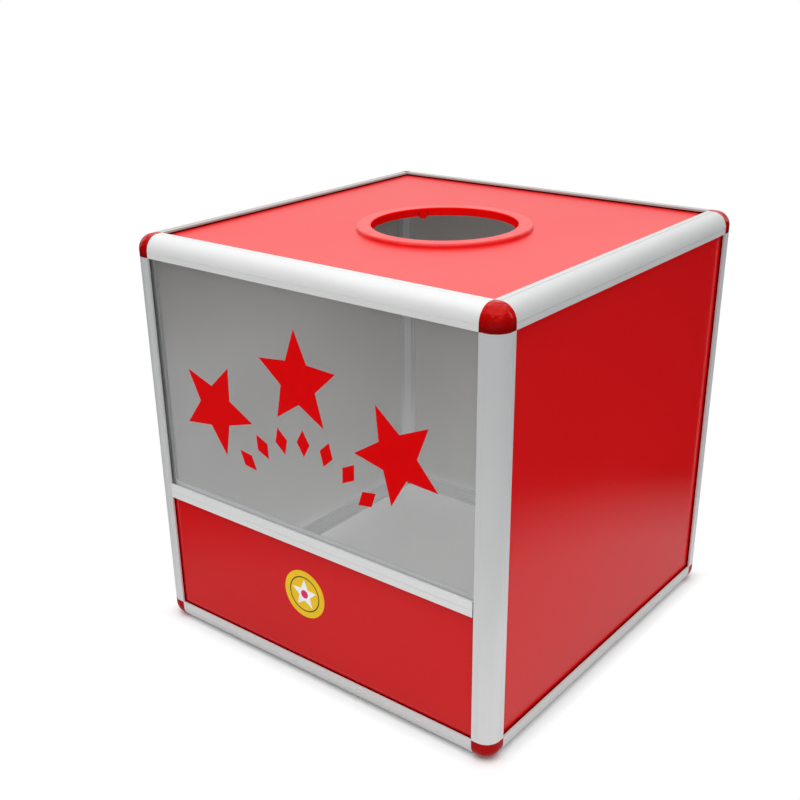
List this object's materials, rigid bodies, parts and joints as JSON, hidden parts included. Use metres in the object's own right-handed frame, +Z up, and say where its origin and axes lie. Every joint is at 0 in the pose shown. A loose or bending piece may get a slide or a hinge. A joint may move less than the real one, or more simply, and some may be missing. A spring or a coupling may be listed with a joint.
{
  "type": "raffle box",
  "caption": "Cube box of edge profiles and corner blocks with red panels, a clear window, a ringed hand hole in the top and a lockable emptying door in the back.",
  "frame": {"origin": "bottom centre of the whole object's bounding box, on the surface that it stands on. The key stands 25.5 mm out at the back, so the middle of the cube's own footprint is 12.75 mm in front of it", "axes": "+Z up, -Y towards the front with the window, +X to the right of someone who faces the window"},
  "size_m": [0.4, 0.4256, 0.4004],
  "materials": {
    "profile_aluminium": "satin anodised",
    "corner_plastic": "moulded, red, half gloss",
    "rail_aluminium": "satin anodised",
    "red_skin": "smooth red film",
    "white_board": "closed foam surface",
    "clear_pane": "clear acrylic, polished",
    "ring_plastic": "moulded, bright red, satin",
    "red_film": "cut red film",
    "yellow_film": "printed film",
    "white_film": "printed film",
    "rivet_aluminium": "plain",
    "pin_steel": "drawn",
    "hinge_steel": "nickel plated",
    "lock_chrome": "plated",
    "plug_steel": "plated",
    "cam_steel": "zinc plated",
    "key_steel": "nickel plated"
  },
  "bodies": {
    "box": {"back_board": "white_board", "back_left_post": "profile_aluminium", "back_right_post": "profile_aluminium", "back_skin": "red_skin", "badge_disc": "yellow_film", "badge_star": "white_film", "bottom_back_left_corner": "corner_plastic", "bottom_back_profile": "profile_aluminium", "bottom_back_right_corner": "corner_plastic", "bottom_board": "white_board", "bottom_front_left_corner": "corner_plastic", "bottom_front_profile": "profile_aluminium", "bottom_front_right_corner": "corner_plastic", "bottom_left_profile": "profile_aluminium", "bottom_right_profile": "profile_aluminium", "cross_rail": "rail_aluminium", "fixed_leaf_rivets": "rivet_aluminium", "front_left_post": "profile_aluminium", "front_right_post": "profile_aluminium", "hole_ring": "ring_plastic", "left_board": "white_board", "left_skin": "red_skin", "lower_front_board": "white_board", "lower_front_skin": "red_skin", "lower_hinge_fixed_leaf": "hinge_steel", "lower_hinge_pin": "pin_steel", "right_board": "white_board", "right_skin": "red_skin", "top_back_left_corner": "corner_plastic", "top_back_profile": "profile_aluminium", "top_back_right_corner": "corner_plastic", "top_board": "white_board", "top_front_left_corner": "corner_plastic", "top_front_profile": "profile_aluminium", "top_front_right_corner": "corner_plastic", "top_left_profile": "profile_aluminium", "top_right_profile": "profile_aluminium", "top_skin": "red_skin", "upper_hinge_fixed_leaf": "hinge_steel", "upper_hinge_pin": "pin_steel", "window_diamonds": "red_film", "window_pane": "clear_pane", "window_stars": "red_film"},
    "door": {"door_skin": "red_skin", "door_board": "white_board", "upper_hinge_door_leaf": "hinge_steel", "lower_hinge_door_leaf": "hinge_steel", "door_leaf_rivets": "rivet_aluminium", "lock_barrel": "lock_chrome", "lock_nut": "lock_chrome"},
    "lock": {"lock_plug": "plug_steel", "lock_cam": "cam_steel", "cam_screw": "cam_steel"},
    "key": {"lock_key": "key_steel"}
  },
  "joints": [
    {"name": "door_hinge", "type": "hinge", "parent": "box", "child": "door", "pos_m": [0.093, 0.1865, 0.16], "axis": [0, 0, -1], "range_deg": [0, 160]},
    {"name": "lock_turn", "type": "hinge", "parent": "door", "child": "lock", "pos_m": [-0.066, 0.18695, 0.16], "axis": [0, 1, 0], "range_deg": [0, 90]},
    {"name": "key_slide", "type": "slide", "parent": "lock", "child": "key", "axis": [0, 1, 0], "range_m": [0, 0.018]}
  ]
}
